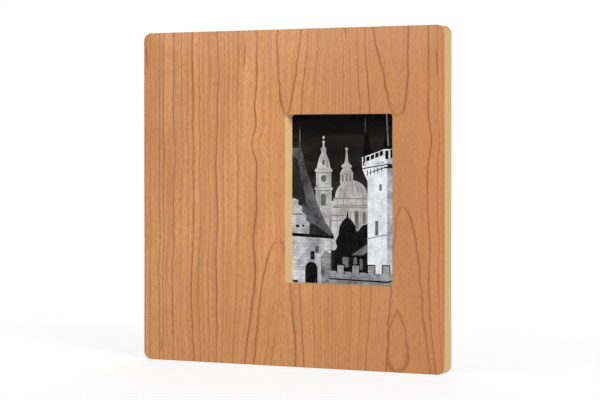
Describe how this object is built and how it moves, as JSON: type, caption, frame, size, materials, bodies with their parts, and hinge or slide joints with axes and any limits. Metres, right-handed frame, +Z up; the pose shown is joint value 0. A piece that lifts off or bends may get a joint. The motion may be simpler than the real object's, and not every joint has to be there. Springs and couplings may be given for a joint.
{
  "type": "digital photo frame",
  "caption": "Square digital photo frame: a cherry-veneered plywood panel with an off-centre portrait window, a display behind it, a rear cover and a swing-out leg.",
  "frame": {"origin": "middle of the panel's flat bottom edge, on the surface that the frame stands on", "axes": "+X along the panel's width, to the right seen from the front; +Y from the picture towards the back; +Z up"},
  "size_m": [0.3048, 0.115, 0.3048],
  "materials": {
    "cherry_veneer": "clear satin lacquer over straight and flame grain",
    "plywood": "sanded ply edge, thin light and dark plies",
    "clear_glass": "polished float glass",
    "black_foam": "closed-cell foam",
    "display_panel": "smooth polariser film over glass",
    "white_plastic": "moulded, satin",
    "clear_acrylic": "polished, dotted on the back",
    "folded_steel": "zinc plated sheet",
    "tinned_steel": "bright tin plate",
    "circuit_board": "green solder mask over glass fibre",
    "chip_plastic": "moulded epoxy, fine matte",
    "black_plastic": "fine spark-eroded texture",
    "button_plastic": "satin moulded",
    "black_rubber": "matte moulded",
    "black_screw": "black oxide",
    "zinc_screw": "bright zinc",
    "card_plastic": "moulded, dark blue",
    "flat_cable": "laminated film",
    "speaker_cone": "pressed paper cone in a painted basket"
  },
  "bodies": {
    "frame": {"front_veneer": "cherry_veneer", "plywood_core": "plywood", "back_veneer": "cherry_veneer", "display_glass": "clear_glass", "glass_gasket": "black_foam", "lcd_cell": "display_panel", "lcd_mid_frame": "white_plastic", "optical_sheets": "white_plastic", "light_guide": "clear_acrylic", "led_strip": "white_plastic", "lcd_backplate": "folded_steel", "lcd_driver_board": "circuit_board", "lcd_bracket_upper": "folded_steel", "lcd_bracket_lower": "folded_steel", "main_board": "circuit_board", "processor": "chip_plastic", "memory_chip": "chip_plastic", "flash_chip": "chip_plastic", "display_connector": "white_plastic", "display_ribbon": "flat_cable", "coin_cell_holder": "chip_plastic", "coin_cell": "folded_steel", "card_socket": "tinned_steel", "usb_socket": "tinned_steel", "power_inlet": "chip_plastic", "slide_switch": "tinned_steel", "speaker_left": "speaker_cone", "speaker_right": "speaker_cone", "button_board": "circuit_board", "rear_cover": "black_plastic", "hanger_plate_left": "folded_steel", "hanger_plate_right": "folded_steel", "wall_bumper_left": "black_rubber", "wall_bumper_right": "black_rubber", "leg_hinge_pin": "zinc_screw", "bracket_screw_1": "zinc_screw", "cover_screw_1": "black_screw", "board_screw_1": "zinc_screw", "tact_switch_1": "tinned_steel", "bracket_screw_2": "zinc_screw", "cover_screw_2": "black_screw", "board_screw_2": "zinc_screw", "tact_switch_2": "tinned_steel", "bracket_screw_3": "zinc_screw", "cover_screw_3": "black_screw", "board_screw_3": "zinc_screw", "tact_switch_3": "tinned_steel", "bracket_screw_4": "zinc_screw", "cover_screw_4": "black_screw", "board_screw_4": "zinc_screw", "tact_switch_4": "tinned_steel"},
    "leg": {"easel_leg": "black_plastic", "leg_foot": "black_rubber"},
    "power_slider": {"power_slider": "button_plastic"},
    "memory_card": {"memory_card": "card_plastic"},
    "menu_button": {"menu_button": "button_plastic"},
    "next_button": {"next_button": "button_plastic"},
    "back_button": {"back_button": "button_plastic"},
    "enter_button": {"enter_button": "button_plastic"}
  },
  "joints": [
    {"name": "leg_hinge", "type": "hinge", "parent": "frame", "child": "leg", "pos_m": [-0.008, 0.027, 0.098], "axis": [0, 0, 1], "range_deg": [-90, 0]},
    {"name": "menu_button_press", "type": "slide", "parent": "frame", "child": "menu_button", "axis": [0, -1, 0], "range_m": [0, 0.0008], "stiffness_N_per_m": 600},
    {"name": "next_button_press", "type": "slide", "parent": "frame", "child": "next_button", "axis": [0, -1, 0], "range_m": [0, 0.0008], "stiffness_N_per_m": 600},
    {"name": "back_button_press", "type": "slide", "parent": "frame", "child": "back_button", "axis": [0, -1, 0], "range_m": [0, 0.0008], "stiffness_N_per_m": 600},
    {"name": "enter_button_press", "type": "slide", "parent": "frame", "child": "enter_button", "axis": [0, -1, 0], "range_m": [0, 0.0008], "stiffness_N_per_m": 600},
    {"name": "power_slide", "type": "slide", "parent": "frame", "child": "power_slider", "axis": [0, 0, 1], "range_m": [0, 0.004]},
    {"name": "memory_card_slide", "type": "slide", "parent": "frame", "child": "memory_card", "axis": [-1, 0, 0], "range_m": [0, 0.03]}
  ]
}
